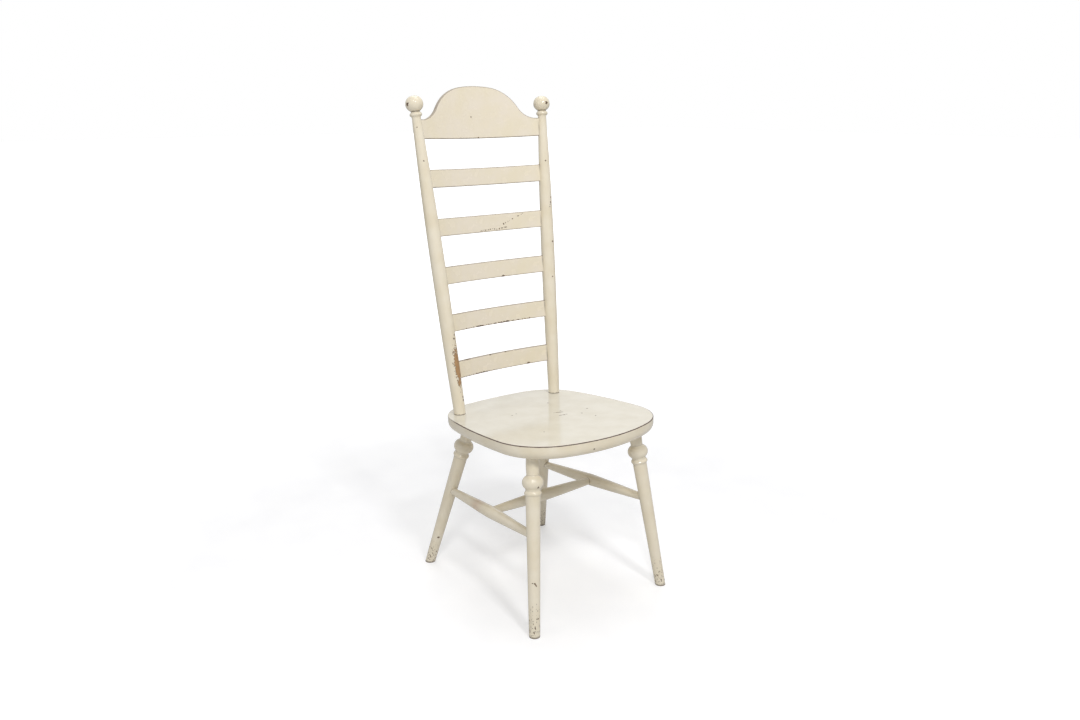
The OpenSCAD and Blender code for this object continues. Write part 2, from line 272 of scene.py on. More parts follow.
# %% [markdown]
# ## The stretchers
#
# Three turned bars tie the legs together in an H. Each tapers almost straight from a thick
# middle to slim ends, which leaves the most wood where the cross stretcher enters. They
# run on into the legs, and dirt gathers in a thin line where a bar meets its leg.

# %% Two side stretchers and the cross stretcher
stretcher_heights = {"front": 0.223, "rear": 0.206}
side_end, side_middle, side_round = 0.0165, 0.0295, 1.1     # 1 is a straight taper
cross_end, cross_middle, cross_round = 0.017, 0.029, 1.3    # and 2 a full swell
joint_line = 0.0018         # how wide the dirt in a joint is
inside_joint = 0.004        # how far past a leg's axis a bar starts
joint_zone = 0.030          # rings are close this near to an end, to show the joint's line
bar_step = 0.006
bar_turns = 72


def at_height(row, side):
    foot, top = leg_ends(row, side)
    return foot.lerp(top, stretcher_heights[row] / top.z)


def distance_to_line(point, a, b):
    along = (b - a).normalized()
    return ((point - a) - along * (point - a).dot(along)).length


def dirty_joint(bm, a, b, radius):
    """Grime where this piece comes out of a round one whose axis runs from a to b"""
    grime_and_shade = bm.verts.layers.float["grime_and_shade"]
    for v in bm.verts:
        out = distance_to_line(v.co, a, b) - radius
        if -joint_line < out < joint_line:
            v[grime_and_shade] = max(v[grime_and_shade], 1 - abs(out) / joint_line)


def bar(a, b, end_width, middle_width, roundness, partners, node):
    """A tapering bar from a to b. partners are the axes and radii that it enters."""
    length = (b - a).length
    far = length - joint_zone
    heights = (steps(inside_joint, joint_zone, bead_step)
               + steps(joint_zone, far, bar_step)[1:]
               + steps(far, length - inside_joint, bead_step)[1:])

    def radius(z):
        off_middle = min(1, abs(2 * z / length - 1))
        return (middle_width - (middle_width - end_width) * off_middle ** roundness) / 2

    bm = turned(radius, heights, bar_turns)
    bm.transform(stand(a, b))
    for partner in partners:
        dirty_joint(bm, *partner)
    make_piece(bm, node)


middles = {}
for side_name, side in sides.items():
    a, b = at_height("front", side), at_height("rear", side)
    middles[side] = (a, b)
    partners = []
    for row, spot in (("front", a), ("rear", b)):
        foot, top = leg_ends(row, side)
        partners.append((foot, top, leg_radius((top - foot).length)((spot - foot).length)))
    bar(a, b, side_end, side_middle, side_round, partners, f"side_stretcher_{side_name}")

cross_ends = [(middles[side][0] + middles[side][1]) / 2 for side in (-1, 1)]
bar(*cross_ends, cross_end, cross_middle, cross_round,
    [(*middles[side], side_middle / 2) for side in (-1, 1)], "cross_stretcher")

# %% [markdown]
# ## The posts
#
# A back post is a long spindle, thickest a little under halfway up. A ring and a ball
# finial crown it. It stands on the seat: its foot runs a few millimetres into the plank,
# out of sight, and dirt lies in a thin ring where the two meet.

# %% Two back posts
post_foot_width, post_width, post_neck_width = 0.028, 0.0342, 0.0205
post_widest_up = 0.320
finial_width, finial_height = 0.0415, 0.037
ring_width, ring_height = 0.029, 0.011
waist_width = 0.020
post_joint = 0.006          # the rings of points are close this near to the seat's top
under_ring = 0.004          # and from this far under the turned ring upwards
post_step = 0.006
open_tip = 0.00005          # the last ring is this far short of the ball's top


def post_radius(length):
    """The post's radius as a function of the height along it"""
    neck_z = length - finial_height / 2 - ring_height

    def radius(z):
        if z < post_widest_up:
            plain = swell(post_width, post_foot_width, 1 - max(z, 0) / post_widest_up) / 2
        elif z < neck_z:
            t = (z - post_widest_up) / (neck_z - post_widest_up)
            plain = swell(post_width, post_neck_width, t) / 2
        else:
            plain = waist_width / 2 if z < length else 0
        return max(plain, bead(z, neck_z + ring_height / 2, ring_height, ring_width),
                   bead(z, length, finial_height, finial_width))

    return radius


for side_name, side in sides.items():
    base = back_frame @ Vector((side * post_foot.x, 0, 0))
    tip = back_frame @ Vector((side * finial_out, 0, finial_up))
    length = (tip - base).length
    crown = length - finial_height / 2 - ring_height - under_ring
    heights = (steps(-post_joint, post_joint, bead_step)
               + steps(post_joint, crown, post_step)[1:]
               + steps(crown, length + finial_height / 2 - open_tip, bead_step)[1:])
    bm = turned(post_radius(length), heights)
    bm.transform(stand(base, tip))
    grime_and_shade = bm.verts.layers.float["grime_and_shade"]
    for v in bm.verts:
        above = (seat_frame.inverted() @ v.co).z
        if above < joint_line:
            v[grime_and_shade] = 1
    make_piece(bm, f"back_post_{side_name}")

# %% [markdown]
# ## The slats
#
# A slat is a thin board, steamed and bent. Bending is simplest last: the flat board is
# made first, cut across often enough to curve smoothly, and each point is then carried
# round a circle. The bevel breaks the long edges, as a few strokes of sandpaper do.

# %% Bend a board, and find the distance to its edges
board_thick = 0.0085
bend_radius = 0.600
edge_break = 0.0012         # the rounding of a board's long edges
rim_band = 0.003            # the wear along an edge stays within this
into_post = 0.002           # a board stops this far short of its post's axis
edge_segments = 3
bend_step = 0.004           # points are this close where a board bends or an arc runs
many_sides = 20             # a face with more sides than this is a broad one


def cross_cuts(bm, low, high, about, axis):
    """Cuts a shape across, about that often, so that it can bend along the axis"""
    normal = Vector((0, 0, 0))
    normal[axis] = 1
    for place in steps(low, high, about)[1:-1]:
        whole = bm.verts[:] + bm.edges[:] + bm.faces[:]
        bmesh.ops.bisect_plane(bm, geom=whole, plane_co=normal * place, plane_no=normal)


def bend(bm, up):
    """Carries a flat board in the back's frame round the bend, at a height up the back"""
    behind = sqrt(bend_radius ** 2 - post_half_gap(up) ** 2)
    for v in bm.verts:
        turn = v.co.x / bend_radius
        r = bend_radius + v.co.y
        v.co = Vector((r * sin(turn), r * cos(turn) - behind, v.co.z + up))
    bm.transform(back_frame)


def board_joints(bm):
    """Grime where a board comes out of the two posts"""
    for side in sides.values():
        base = back_frame @ Vector((side * post_foot.x, 0, 0))
        tip = back_frame @ Vector((side * finial_out, 0, finial_up))
        middle = sum((v.co for v in bm.verts), Vector()) / len(bm.verts)
        up = (back_frame.inverted() @ middle).z
        dirty_joint(bm, base, tip, post_radius((tip - base).length)(up))


# %% Five slats
slat_count = 5
slat_height = 0.042
first_slat, slat_step = 0.086, 0.1145

for i in range(slat_count):
    up = first_slat + slat_step * i
    half = post_half_gap(up + slat_height / 2) - into_post
    bm = bmesh.new()
    bmesh.ops.create_cube(bm, size=1)
    bmesh.ops.scale(bm, vec=(2 * half, board_thick, slat_height), verts=bm.verts)
    bmesh.ops.translate(bm, vec=(0, 0, slat_height / 2), verts=bm.verts)
    long_edges = [e for e in bm.edges if abs(e.verts[0].co.x - e.verts[1].co.x) > half]
    bmesh.ops.bevel(bm, geom=long_edges, offset=edge_break, segments=edge_segments, profile=0.5,
                    affect="EDGES", material=-1)
    cross_cuts(bm, -half, half, bend_step, 0)
    cross_cuts(bm, 0, slat_height, rim_band, 2)
    start_layers(bm)
    rim = bm.verts.layers.float["rim"]
    for v in bm.verts:
        across = min(v.co.z, slat_height - v.co.z)
        v[rim] = 1000 * max(across, board_thick / 2 - abs(v.co.y))
    bend(bm, up)
    board_joints(bm)
    make_piece(bm, f"slat_{i + 1}")

# %% [markdown]
# ## The crest rail
#
# The crest is a wider board with an arched top, sawn to a crown between two hollows. Its
# outline is three arcs on each side that touch each other. One face in that outline is
# extruded to the board's thickness, its edges are broken, and it bends like a slat.

# %% Arcs that touch
def meet(a, ra, b, rb, turn):
    """Where two circles meet, on the side that turn picks"""
    d = (b - a).length
    k = (ra * ra - rb * rb + d * d) / (2 * d)
    u = (b - a) / d
    return a + u * k + turn * sqrt(ra * ra - k * k) * Vector((-u.y, u.x))


def heading(a, b):
    return (b - a).angle_signed(Vector((1, 0)))


def arc(centre, radius, start, end, about=bend_step):
    """Points along an arc, without its last one"""
    count = max(2, round(abs(end - start) * radius / about))
    turns_at = [start + (end - start) * i / count for i in range(count)]
    return [centre + radius * Vector((cos(t), sin(t))) for t in turns_at]


def both_sides(half):
    """A whole outline from the half that starts on the middle line"""
    return half + [Vector((-p.x, p.y)) for p in reversed(half[1:])]


# %% The crest rail
crest_gap = 0.071           # from the highest slat up to the crest
crest_up = first_slat + (slat_count - 1) * slat_step + slat_height + crest_gap
crest_end, crest_middle = 0.044, 0.124
crown_round, shoulder_round, hollow_round = 0.310, 0.110, 0.060

crown_at = Vector((0, crest_middle - crown_round))
hollow_at = Vector((post_half_gap(crest_up) - post_neck_width / 2, crest_end + hollow_round))
shoulder_at = meet(crown_at, crown_round - shoulder_round, hollow_at,
                   shoulder_round + hollow_round, 1)
crown_turn = heading(crown_at, shoulder_at)
shoulder_turn = heading(shoulder_at, hollow_at)
crest_half = post_half_gap(crest_up) - into_post
half_crest = (arc(crown_at, crown_round, pi / 2, crown_turn)
              + arc(shoulder_at, shoulder_round, crown_turn, shoulder_turn)
              + arc(hollow_at, hollow_round, shoulder_turn + pi, 3 * pi / 2)
              + [Vector((crest_half, crest_end)), Vector((crest_half, 0))])


def outline_distance(point, outline):
    """Distance from a flat point to a closed outline"""
    best = 1.0
    for a, b in zip(outline, outline[1:] + outline[:1]):
        side = b - a
        t = max(0, min(1, (point - a).dot(side) / side.length_squared))
        best = min(best, (point - a - side * t).length)
    return best


outline = both_sides(half_crest)
bm = bmesh.new()
front = bm.faces.new([bm.verts.new((p.x, -board_thick / 2, p.y)) for p in outline])
raised = bmesh.ops.extrude_face_region(bm, geom=[front], use_keep_orig=True)
far_side = [g for g in raised["geom"] if isinstance(g, bmesh.types.BMVert)]
bmesh.ops.translate(bm, vec=(0, board_thick, 0), verts=far_side)
bmesh.ops.recalc_face_normals(bm, faces=bm.faces)
rims = [e for e in bm.edges if abs(e.verts[0].co.y - e.verts[1].co.y) < 1e-6]
bmesh.ops.bevel(bm, geom=rims, offset=edge_break, segments=edge_segments, profile=0.5,
                affect="EDGES", material=-1)
broad = [f for f in bm.faces if len(f.verts) > many_sides]
bmesh.ops.inset_region(bm, faces=broad, thickness=rim_band - edge_break, use_even_offset=True)
cross_cuts(bm, -crest_half, crest_half, bend_step, 0)
start_layers(bm)
rim = bm.verts.layers.float["rim"]
for v in bm.verts:
    in_from_edge = outline_distance(Vector((v.co.x, v.co.z)), outline)
    v[rim] = 1000 * max(in_from_edge, board_thick / 2 - abs(v.co.y))
bend(bm, crest_up)
board_joints(bm)
make_piece(bm, "crest_rail")

# %% [markdown]
# ## The seat
#
# The seat is one thick plank. Its outline is five arcs on each side: a flat front, a
# round corner, a long side, a round corner and a flat back. The lower edge is rounded
# over far enough to make the plank look thin, and the top edge is left almost sharp.

# %% The plank seat
top_break, top_segments = 0.0012, 3
under_segments = 10
front_round, flank_round, back_round = 0.360, 0.950, 0.850
front_corner_round, back_corner_round = 0.135, 0.118
widest_back = 0.170         # how far behind the front edge the seat is widest

front_at = Vector((0, front_round))
back_at = Vector((0, seat_depth - back_round))
side_at = Vector((seat_width / 2 - flank_round, widest_back))
front_corner = meet(front_at, front_round - front_corner_round,
                    side_at, flank_round - front_corner_round, 1)
back_corner = meet(back_at, back_round - back_corner_round,
                   side_at, flank_round - back_corner_round, -1)
turn_a, turn_b = heading(front_at, front_corner), heading(side_at, front_corner)
turn_c, turn_d = heading(side_at, back_corner), heading(back_at, back_corner)
half_seat = (arc(front_at, front_round, -pi / 2, turn_a)
             + arc(front_corner, front_corner_round, turn_a, turn_b)
             + arc(side_at, flank_round, turn_b, turn_c)
             + arc(back_corner, back_corner_round, turn_c, turn_d)
             + arc(back_at, back_round, turn_d, pi / 2) + [Vector((0, seat_depth))])


def front_edge_curve(x):
    """How far back the seat's front edge is, at x from its middle"""
    return front_round - sqrt(front_round ** 2 - x * x)


outline = half_seat + [Vector((-p.x, p.y)) for p in reversed(half_seat[1:-1])]
bm = bmesh.new()
top_face = bm.faces.new([bm.verts.new((p.x, p.y, 0)) for p in outline])
lowered = bmesh.ops.extrude_face_region(bm, geom=[top_face], use_keep_orig=True)
under = [g for g in lowered["geom"] if isinstance(g, bmesh.types.BMVert)]
bmesh.ops.translate(bm, vec=(0, 0, -seat_thick), verts=under)
bmesh.ops.recalc_face_normals(bm, faces=bm.faces)
for height, offset, segments in ((-seat_thick, under_round, under_segments),
                                 (0, top_break, top_segments)):
    level = [e for e in bm.edges if all(abs(v.co.z - height) < 1e-6 for v in e.verts)]
    bmesh.ops.bevel(bm, geom=level, offset=offset, segments=segments, profile=0.5,
                    affect="EDGES", material=-1)
top = [f for f in bm.faces if len(f.verts) > many_sides and f.calc_center_median().z > -0.001]
bmesh.ops.inset_region(bm, faces=top, thickness=rim_band - top_break, use_even_offset=True)
start_layers(bm)
rim = bm.verts.layers.float["rim"]
for v in bm.verts:
    v[rim] = 1000 * max(outline_distance(v.co.xy, outline), -v.co.z)
bm.transform(seat_frame)
make_piece(bm, "seat")

# %% [markdown]
# ## Painted wood that has been used
#
# The finish has three layers: wood, a film of paint, and what time has done to it. Wear
# is one number at each point, made of fine noise plus a push from what causes it: a
# sharp edge, a foot that is kicked, or a knock at a known place. Where that number is
# past a limit the paint is gone. Because every cause shares the same noise, all chips
# have the same kind of ragged outline. A small chip is shallow and holds dirt. Only where
# paint has come off in a large patch has the wood been rubbed clean enough to show.

# %% Node helpers
def tone(red, green, blue):
    """A colour as a painter mixes it, 0 to 255, in the linear form that shaders use"""
    parts = [c / 255 for c in (red, green, blue)]
    linear = [c / 12.92 if c <= 0.04045 else ((c + 0.055) / 1.055) ** 2.4 for c in parts]
    return (*linear, 1)


def add(tree, kind, inputs=(), **settings):
    """A new node with its settings, and its inputs set to values or linked to sockets"""
    node = tree.nodes.new("ShaderNode" + kind)
    for name, value in settings.items():
        setattr(node, name, value)
    for name, value in dict(inputs).items():
        if isinstance(value, bpy.types.NodeSocket):
            tree.links.new(value, node.inputs[name])
        else:
            node.inputs[name].default_value = value
    return node


def sum_of(tree, operation, *values):
    return add(tree, "Math", dict(enumerate(values)), operation=operation).outputs[0]


def fade(tree, value, low, high, to_low=0.0, to_high=1.0):
    """Takes value from low..high to to_low..to_high, and holds it at both ends"""
    parts = {"Value": value, "From Min": low, "From Max": high,
             "To Min": to_low, "To Max": to_high}
    return add(tree, "MapRange", parts).outputs["Result"]


def noise(tree, place, size, detail=3.0, stretch=(1, 1, 1)):
    """Noise whose features are about size metres across, drawn out by stretch"""
    scaled = add(tree, "VectorMath", {0: place, 1: [1 / (size * s) for s in stretch]},
                 operation="MULTIPLY").outputs[0]
    return add(tree, "TexNoise", {"Vector": scaled, "Scale": 1.0, "Detail": detail}).outputs[0]


def blend(tree, amount, first, second):
    """The first colour turning into the second as amount goes from 0 to 1"""
    node = tree.nodes.new("ShaderNodeMix")
    node.data_type = "RGBA"
    for socket, value in ((0, amount), (6, first), (7, second)):
        if isinstance(value, bpy.types.NodeSocket):
            tree.links.new(value, node.inputs[socket])
        else:
            node.inputs[socket].default_value = value
    return node.outputs[2]


# %% How worn each point is
worn_through = 0.80         # past this much wear the paint is gone
chip_edge = 0.025           # and this much further on, nothing of it is left
clean_from, bare_depth = 0.03, 0.10     # clean wood starts to show in a patch, and is clear
kicked_to, kicks_end = 0.040, 0.125     # feet are scuffed evenly up to here, then less
patch_size = 0.045          # edges are worn in patches about this size
patch_from, patch_to = 0.47, 0.60       # where the patches' noise starts and is full
edge_from, edge_to = 0.3, 2.6           # millimetres from the edge, full wear to none


def nearness(tree, lay, place, size):
    """1 at a place, falling to 0 at the edge of an egg shape of that size about it"""
    off = add(tree, "VectorMath", {0: lay, 1: place}, operation="SUBTRACT").outputs[0]
    off = add(tree, "VectorMath", {0: off, 1: [1 / s for s in size]},
              operation="MULTIPLY").outputs[0]
    reach = add(tree, "VectorMath", {0: off}, operation="LENGTH").outputs["Value"]
    return fade(tree, reach, 0.0, 1.0, 1.0, 0.0)


def wear_level(tree, lay, rim, marks, foot, edge, fleck, drawn_out):
    """Fine noise, with a push from each cause of wear"""
    wear = noise(tree, lay, fleck, 5.0, drawn_out)
    if edge:
        patches = fade(tree, noise(tree, lay, patch_size, 2.0), patch_from, patch_to)
        near_edge = fade(tree, rim, edge_from, edge_to, edge, 0.0)
        wear = sum_of(tree, "MULTIPLY_ADD", near_edge, patches, wear)
    if foot:
        height = add(tree, "SeparateXYZ", {0: lay}).outputs["Z"]
        scuffed = fade(tree, height, kicked_to, kicks_end, foot, 0.0)
        wear = sum_of(tree, "ADD", wear, scuffed)
    for place, size, push in marks:
        wear = sum_of(tree, "MULTIPLY_ADD", nearness(tree, lay, place, size), push, wear)
    return wear


# %% The painted finish
cream, pale, warm = tone(227, 217, 195), tone(232, 224, 206), tone(219, 207, 180)
# the first, darker brown is the dirt in chips, grooves and joints, and also the painted shade at
# the bottom of the feet
dirt_and_shade, dirt_light = tone(76, 60, 46), tone(118, 94, 70)
bare_wood, wood_grain = tone(184, 148, 106), tone(148, 112, 74)
edge_brown, stain_pink = tone(70, 46, 36), tone(190, 150, 122)
paint_film = 0.0003         # the paint's thickness
blotch_size, stroke_size, fibre_size = 0.055, 0.0035, 0.0012
sheen_size, film_size, rubbed_size = 0.020, 0.010, 0.007
line_waver, line_none, line_full = 1.4, 2.8, 2.0    # the rubbed line, in millimetres
stroke_tint, grime_and_shade_tint = 0.12, 0.75    # how much deeper brush marks are, and the dirt with the feet's painted shade
film_bump = 0.16            # how uneven the film is, in thicknesses
worn_rough = 0.40           # how much duller a chipped or rubbed place is
leg_chip_length = 1.7       # a chip on a leg is this much longer than it is wide
ALONG_X, ALONG_Y, ALONG_Z = (9, 1, 1), (1, 9, 1), (1, 1, 9)     # how grain is drawn out


def painted(name, grain, coat, marks=(), bare=(), stains=(), foot=0.0, edge=0.0, line=0.0,
            line_ends=None, gloss=(0.06, 0.13), fleck=0.0042, strokes=0.10, top_coat=None):
    """Old paint. grain is the way the brush went, and coat is three near tones. Each mark
    is (place, size, push), and those in bare show wood. line is how dark the edges are
    rubbed, and line_ends fades that along the piece's Y. fleck is the size of the chips,
    strokes the depth of brush marks, and top_coat another coat for a level top."""
    plain, light, deeper = coat
    material = bpy.data.materials.new(name)
    material.use_nodes = True
    tree = material.node_tree
    shader = tree.nodes["Principled BSDF"]
    shader.inputs["Specular IOR Level"].default_value = 0.45
    lay = add(tree, "Attribute", attribute_name="lay").outputs["Vector"]
    rim = add(tree, "Attribute", attribute_name="rim").outputs["Fac"]
    grime_and_shade = add(tree, "Attribute", attribute_name="grime_and_shade").outputs["Fac"]
    drawn_out = (1, 1, leg_chip_length) if foot else (1, 1, 1)
    wear = wear_level(tree, lay, rim, (*marks, *bare), foot, edge, fleck, drawn_out)
    gone = fade(tree, wear, worn_through, worn_through + chip_edge)
    clean = 0.0
    if bare:
        rubbed_clean = wear_level(tree, lay, rim, bare, 0.0, 0.0, fleck, drawn_out)
        clean = fade(tree, rubbed_clean, worn_through + clean_from, worn_through + bare_depth)

    # the paint's own colour: blotches, brush strokes, stains, dirt in the grooves, and painted
    # shade at the feet
    blotch = fade(tree, noise(tree, lay, blotch_size, 3.0), 0.35, 0.65)
    stroke = fade(tree, noise(tree, lay, stroke_size, 3.0, grain), 0.3, 0.7)
    paint = blend(tree, 0.5, plain, blend(tree, blotch, light, deeper))
    if top_coat:
        on_top = fade(tree, add(tree, "SeparateXYZ", {0: lay}).outputs["Z"], -0.0020, -0.0004)
        level = blend(tree, 0.5, top_coat[0], blend(tree, blotch, top_coat[1], top_coat[2]))
        paint = blend(tree, on_top, paint, level)
    paint = blend(tree, sum_of(tree, "MULTIPLY", stroke, stroke_tint), paint, deeper)
    for place, size, amount in stains:
        seen = sum_of(tree, "MULTIPLY", nearness(tree, lay, place, size), amount)
        paint = blend(tree, seen, paint, stain_pink)
    # dirt in grooves and joints, and painted shade along the bottom of each foot
    paint = blend(tree, sum_of(tree, "MULTIPLY", grime_and_shade, grime_and_shade_tint), paint, dirt_and_shade)
    dull = gone
    if line:
        uneven = sum_of(tree, "MULTIPLY_ADD", noise(tree, lay, rubbed_size, 3.0), line_waver,
                        rim)
        rubbed = fade(tree, uneven, line_none, line_full, 0.0, line)
        if line_ends:
            back = add(tree, "SeparateXYZ", {0: lay}).outputs["Y"]
            rubbed = sum_of(tree, "MULTIPLY", rubbed, fade(tree, back, *line_ends, 1.0, 0.0))
        paint = blend(tree, rubbed, paint, edge_brown)
        dull = sum_of(tree, "MAXIMUM", gone, rubbed)

    # under the paint: dirt in the chips, and clean wood in a large patch
    fibre = fade(tree, noise(tree, lay, fibre_size, 4.0, grain), 0.35, 0.65)
    caked = blend(tree, fibre, dirt_and_shade, dirt_light)
    under = blend(tree, clean, caked, blend(tree, fibre, bare_wood, wood_grain))
    tree.links.new(blend(tree, gone, paint, under), shader.inputs["Base Color"])

    # satin paint, dull wood
    sheen = fade(tree, noise(tree, lay, sheen_size, 3.0), 0.3, 0.7, *gloss)
    rough = sum_of(tree, "MULTIPLY_ADD", dull, worn_rough, sheen)
    tree.links.new(rough, shader.inputs["Roughness"])

    # relief: brush strokes, an uneven film, and the step down into each chip
    relief = sum_of(tree, "MULTIPLY", stroke, strokes)
    relief = sum_of(tree, "MULTIPLY_ADD", noise(tree, lay, film_size, 2.0), film_bump, relief)
    relief = sum_of(tree, "SUBTRACT", relief, gone)
    bump = add(tree, "Bump", {"Strength": 1.0, "Distance": paint_film, "Height": relief})
    tree.links.new(bump.outputs[0], shader.inputs["Normal"])
    return material


# %% [markdown]
# ## Where the chair is worn
#
# Each piece has its own finish, so that its knocks are its own. Their places come from
# the chair. On a post a knock is counted in board heights from a slat, because it is
# easiest to find beside something. On a board it is a share of the length and height. The
# small chips on the seat fall anywhere in its middle, where things are put down, and a
# seeded scatter puts them in the same places each time.

# %% Ways to place a knock
chip_across = 0.0042
scratch_across = 0.0036
front_face = -board_thick / 2
half_board = post_half_gap(first_slat + 2 * slat_step)
draw = random.Random(4)


def beside(slat, boards):
    """Height up a post, that many board heights over the lower edge of a slat"""
    return first_slat + slat_step * (slat - 1) + slat_height * boards


def on_round(radius, up, turn, across=chip_across, push=0.70):
    """A knock on a turned piece, at a height up it and turned in degrees from its front"""
    out, angle = radius(up), radians(turn)
    return (out * sin(angle), out * cos(angle), up), (across,) * 3, push


def on_board(along, high, half_length=chip_across, push=0.70):
    """A knock on a board's front. along is -1 to 1 from post to post, high in boards."""
    place = (along * half_board, front_face, high * slat_height)
    return place, (half_length, 0.006, 0.005), push


def scratch(start, end, count):
    """A thin broken line of marks between two knocks"""
    start, end = Vector(start[0]), Vector(end[0])
    widest = min(scratch_across, 1.2 * (end - start).length / (count - 1))
    line = []
    for i in range(count):
        place = start.lerp(end, (i + draw.uniform(-0.3, 0.3)) / (count - 1))
        across = widest * draw.uniform(0.7, 1.15)
        line.append((tuple(place), (across,) * 3, draw.uniform(0.35, 0.55)))
    return line


def on_seat(across, back, size=chip_across, push=0.70):
    """A knock on the seat's top, at shares of its width and depth"""
    return (across * seat_width, back * seat_depth, 0), (size,) * 3, push


def scattered(count):
    """Small chips anywhere in the seat's middle"""
    return [on_seat(draw.uniform(-0.30, 0.30), draw.uniform(0.25, 0.70),
                    draw.uniform(0.0030, 0.0044), 0.65) for _ in range(count)]


# %% The knocks
post_length = (back_frame @ Vector((finial_out, 0, finial_up))
               - back_frame @ Vector((post_foot.x, 0, 0))).length
post, leg = post_radius(post_length), leg_radius(leg_length["front"])
rear_leg = leg_radius(leg_length["rear"])

# the bare patch runs down the inner side of the post, past the lowest slat
patch_place = on_round(post, beside(1, 0.80), 2)[0]
bare = {"back_post_right": [(patch_place, (0.0170, 0.0170, 1.95 * slat_height), 0.74)]}
nick = on_seat(-0.15, 0)
edge_nicks = [((nick[0][0] + step, front_edge_curve(nick[0][0]), -0.6 * seat_thick), (0.004,) * 3,
               0.7) for step in (-0.008, 0.008)]

marks = {
    "back_post_right": [
        on_round(post, beside(1, 2.6), -5, 0.0036), on_round(post, beside(1, 2.4), 5, 0.0034),
        on_round(post, slat_height, -10, 0.0036), on_round(post, 0.8 * slat_height, -10),
        on_round(post, beside(5, 1.5), 40, 0.0034, 0.60),
        on_round(post, beside(6, 0.6), 60, 0.0025, 0.60),
        on_round(post, post_length, 100, 0.007)],
    "back_post_left": [
        on_round(post, beside(5, 1.2), 0), on_round(post, beside(3, 1.8), -35),
        on_round(post, beside(3, -0.3), -15, 0.003), on_round(post, post_length, -20, 0.006),
        *scratch(on_round(post, beside(4, 2.0), -50), on_round(post, beside(4, 1.2), -25), 9)],
    "slat_4": [
        *scratch(on_board(-0.14, 0.09), on_board(0.12, 0.15), 10),
        *scratch(on_board(0.14, 0.09), on_board(0.34, 0.18), 8),
        *scratch(on_board(0.3, 0.4), on_board(0.65, 0.9), 11)],
    "slat_3": [on_board(0.2, 0.05, 0.006)],
    "slat_2": [
        on_board(0.15, 0.0, 0.026, 0.66), on_board(-0.35, 0.0, 0.016, 0.62),
        *scratch(on_board(-0.6, 0.05), on_board(0.6, 0.05), 26)],
    "slat_1": [
        on_board(-0.4, 0.0, 0.030, 0.60), on_board(-0.65, 1.0, 0.016, 0.60),
        on_board(-0.2, 1.0), on_board(0.1, 1.0), on_board(0.5, 0.05, 0.007),
        *scratch(on_board(-0.95, 0.03), on_board(-0.1, 0.03), 18)],
    "crest_rail": [on_board(-0.1, 1.2, 0.0026, 0.60), on_board(0, 0)],
    "seat": [
        *scattered(9), *edge_nicks, *scratch(on_seat(0.05, 0.52), on_seat(0.10, 0.50), 9),
        *scratch(on_seat(0.04, 0.46), on_seat(0.09, 0.45), 8)],
    "front_leg_right": [
        on_round(leg, 0.83 * leg_length["front"], -30),
        *scratch(on_round(leg, 0.285 * leg_length["front"], -22),
                 on_round(leg, 0.302 * leg_length["front"], -5), 5),
        *scratch(on_round(leg, 0.302 * leg_length["front"], -5),
                 on_round(leg, 0.304 * leg_length["front"], 18), 4)],
    "rear_leg_right": [on_round(rear_leg, 0.20 * leg_length["rear"], -120, 0.0036)],
}
side_length = (middles[-1][1] - middles[-1][0]).length
stains = {"side_stretcher_right": [((0, 0, 0.62 * side_length), (0.060, 0.060, 0.032), 0.5)]}

# %% [markdown]
# ## Painting
#
# Old paint looks different on each kind of piece. The seat's top is paler and less yellow,
# and its upper edge is rubbed dark. The boards are duller. The legs are scuffed at the
# foot. Each kind changes a few settings of the same finish, and the grain follows the
# piece's long way.

# %% Paint every piece
seat_coat = tone(225, 219, 204), tone(230, 225, 211), tone(217, 210, 191)
wood_coat = cream, pale, warm
board_coat = tone(227, 217, 197), tone(229, 219, 206), tone(225, 214, 187)
for node, piece in pieces.items():
    kind = dict(marks=marks.get(node, ()), bare=bare.get(node, ()),
                stains=stains.get(node, ()), coat=wood_coat)
    if node == "seat":
        kind.update(edge=0.10, line=1.0, line_ends=(0.33, 0.41), gloss=(0.09, 0.16),
                    top_coat=seat_coat, strokes=0.05)
    elif "slat" in node or node == "crest_rail":
        kind.update(edge=0.20, line=0.55, gloss=(0.20, 0.30), coat=board_coat)
    elif "leg" in node:
        kind.update(foot=0.215, fleck=0.0030)
    long_way = ALONG_Y if node == "seat" else ALONG_X if "edge" in kind else ALONG_Z
    piece.data.materials.append(painted("paint_" + node, long_way, **kind))
print(sum(len(m) for m in marks.values()), "knocks placed")

# %% [markdown]
# ## The floor
#
# The chair stands in a white studio. The floor is pale paint that keeps the chair's soft
# shadow. What the camera sees of the floor is brightened by light that falls on nothing
# else: a little under the chair, and more further off, so that the floor runs into the
# background with no line between them.

# %% The floor
floor_size = 60
near_lift, far_lift = 0.34, 0.95    # how much whiter the camera sees the floor
lift_from, lift_to = 0.9, 3.0       # between these distances from the chair

bm = bmesh.new()
bmesh.ops.create_grid(bm, x_segments=1, y_segments=1, size=floor_size / 2)
floor_mesh = bpy.data.meshes.new("floor")
bm.to_mesh(floor_mesh)
bm.free()
floor = bpy.data.objects.new("floor", floor_mesh)
bpy.context.scene.collection.objects.link(floor)

floor_paint = bpy.data.materials.new("floor_paint")
floor_paint.use_nodes = True
tree = floor_paint.node_tree
shader = tree.nodes["Principled BSDF"]
shader.inputs["Roughness"].default_value = 0.7
spot = add(tree, "TexCoord").outputs["Object"]
mottle = fade(tree, noise(tree, spot, 0.10, 4.0), 0.3, 0.7)
tree.links.new(blend(tree, mottle, tone(218, 218, 220), tone(224, 224, 225)),
               shader.inputs["Base Color"])
path = add(tree, "LightPath")
away = add(tree, "VectorMath", {0: spot}, operation="LENGTH").outputs["Value"]
lift = fade(tree, away, lift_from, lift_to, near_lift, far_lift)
seen = sum_of(tree, "MULTIPLY", path.outputs["Is Camera Ray"], lift)
glow = add(tree, "Emission", {"Color": (1, 1, 1, 1), "Strength": seen})
both = add(tree, "AddShader", {0: shader.outputs[0], 1: glow.outputs[0]})
tree.links.new(both.outputs[0], tree.nodes["Material Output"].inputs["Surface"])
floor_mesh.materials.append(floor_paint)

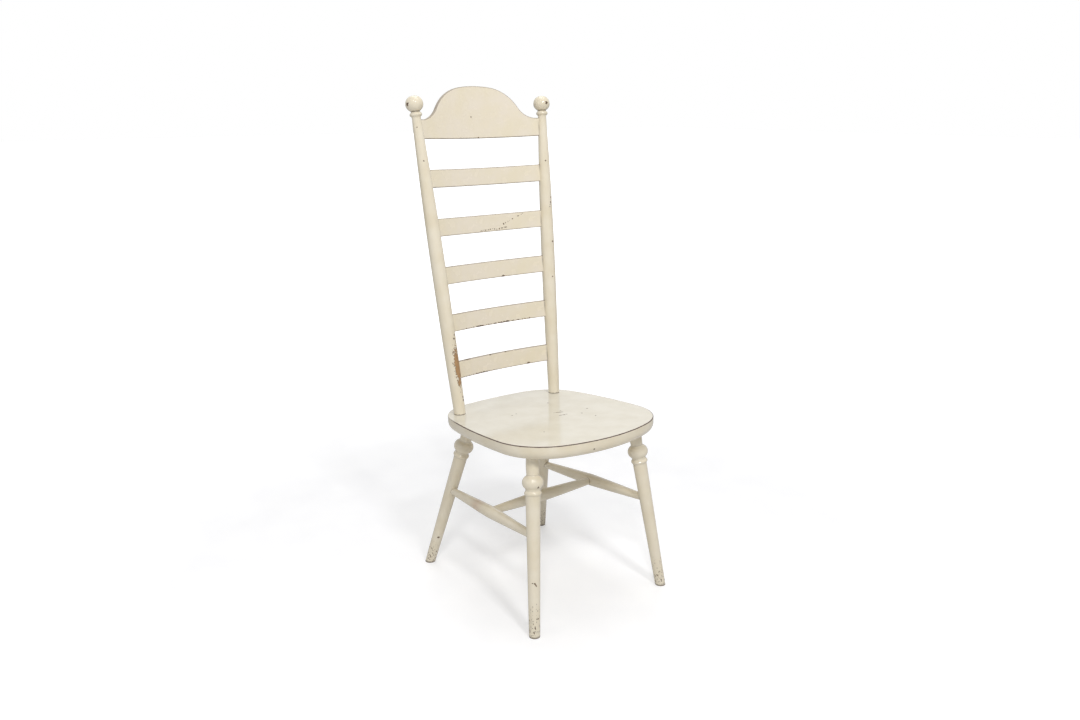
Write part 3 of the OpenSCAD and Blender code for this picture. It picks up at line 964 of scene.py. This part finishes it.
# %% [markdown]
# ## Light
#
# Two small lamps in front give each ball its bright spots and draw the shade under the
# seat. Larger, softer lamps above, behind and to one side only lift the dark places. The
# sky is white where the camera or a reflection looks at it, but it lights the chair with
# less than half of that, so shade stays shade.

# %% The studio's light
sky_level = 0.38
world = bpy.data.worlds.new("studio")
world.use_nodes = True
bpy.context.scene.world = world
tree = world.node_tree
path = add(tree, "LightPath")
seen = sum_of(tree, "MAXIMUM", path.outputs["Is Camera Ray"],
              sum_of(tree, "MAXIMUM", path.outputs["Is Glossy Ray"],
                     path.outputs["Is Transmission Ray"]))
strength = fade(tree, seen, 0.0, 1.0, sky_level, 1.0)
tree.links.new(strength, tree.nodes["Background"].inputs["Strength"])
tree.nodes["Background"].inputs["Color"].default_value = (1, 1, 1, 1)


def soft_box(name, place, aim, size, power):
    """A square lamp at place that faces aim"""
    lamp = bpy.data.lights.new(name, "AREA")
    lamp.shape, lamp.size, lamp.energy = "SQUARE", size, power
    holder = bpy.data.objects.new(name, lamp)
    holder.location = place
    holder.rotation_euler = (Vector(aim) - Vector(place)).to_track_quat("-Z", "Y").to_euler()
    bpy.context.scene.collection.objects.link(holder)


# each lamp's name, place, what it faces, size in metres and power in watts
middle_of_chair = (0, 0, 0.6)
soft_box("front_right", (-0.55, -2.75, 3.1), middle_of_chair, 0.5, 43)
soft_box("front_left", (-1.80, -2.25, 3.1), middle_of_chair, 0.5, 39)
soft_box("top", (0.3, -0.2, 3.4), middle_of_chair, 1.5, 14)
soft_box("back", (0.8, 1.4, 3.9), middle_of_chair, 1.4, 20)
soft_box("left", (-3.0, 0.3, 1.2), middle_of_chair, 1.6, 5)

# %% [markdown]
# ## Camera
#
# The camera stands a little over a metre up, ahead of the seat and to the chair's right,
# and looks down by fifteen degrees. The Standard view shows a colour about as it was
# mixed.

# %% The camera
lens, film = 32.36, 36.0
camera_turn, camera_dip = radians(-38.23), radians(14.95)
camera_right, camera_ahead, camera_up = 1.385, 1.4915, 1.155    # ahead of the front edge
view = bpy.data.cameras.new("camera")
view.lens, view.sensor_width = lens, film
camera = bpy.data.objects.new("camera", view)
camera.location = (-camera_right, front_edge - camera_ahead, camera_up)
camera.rotation_euler = (pi / 2 - camera_dip, 0, camera_turn)
bpy.context.scene.collection.objects.link(camera)
bpy.context.scene.camera = camera
bpy.context.scene.view_settings.view_transform = "Standard"
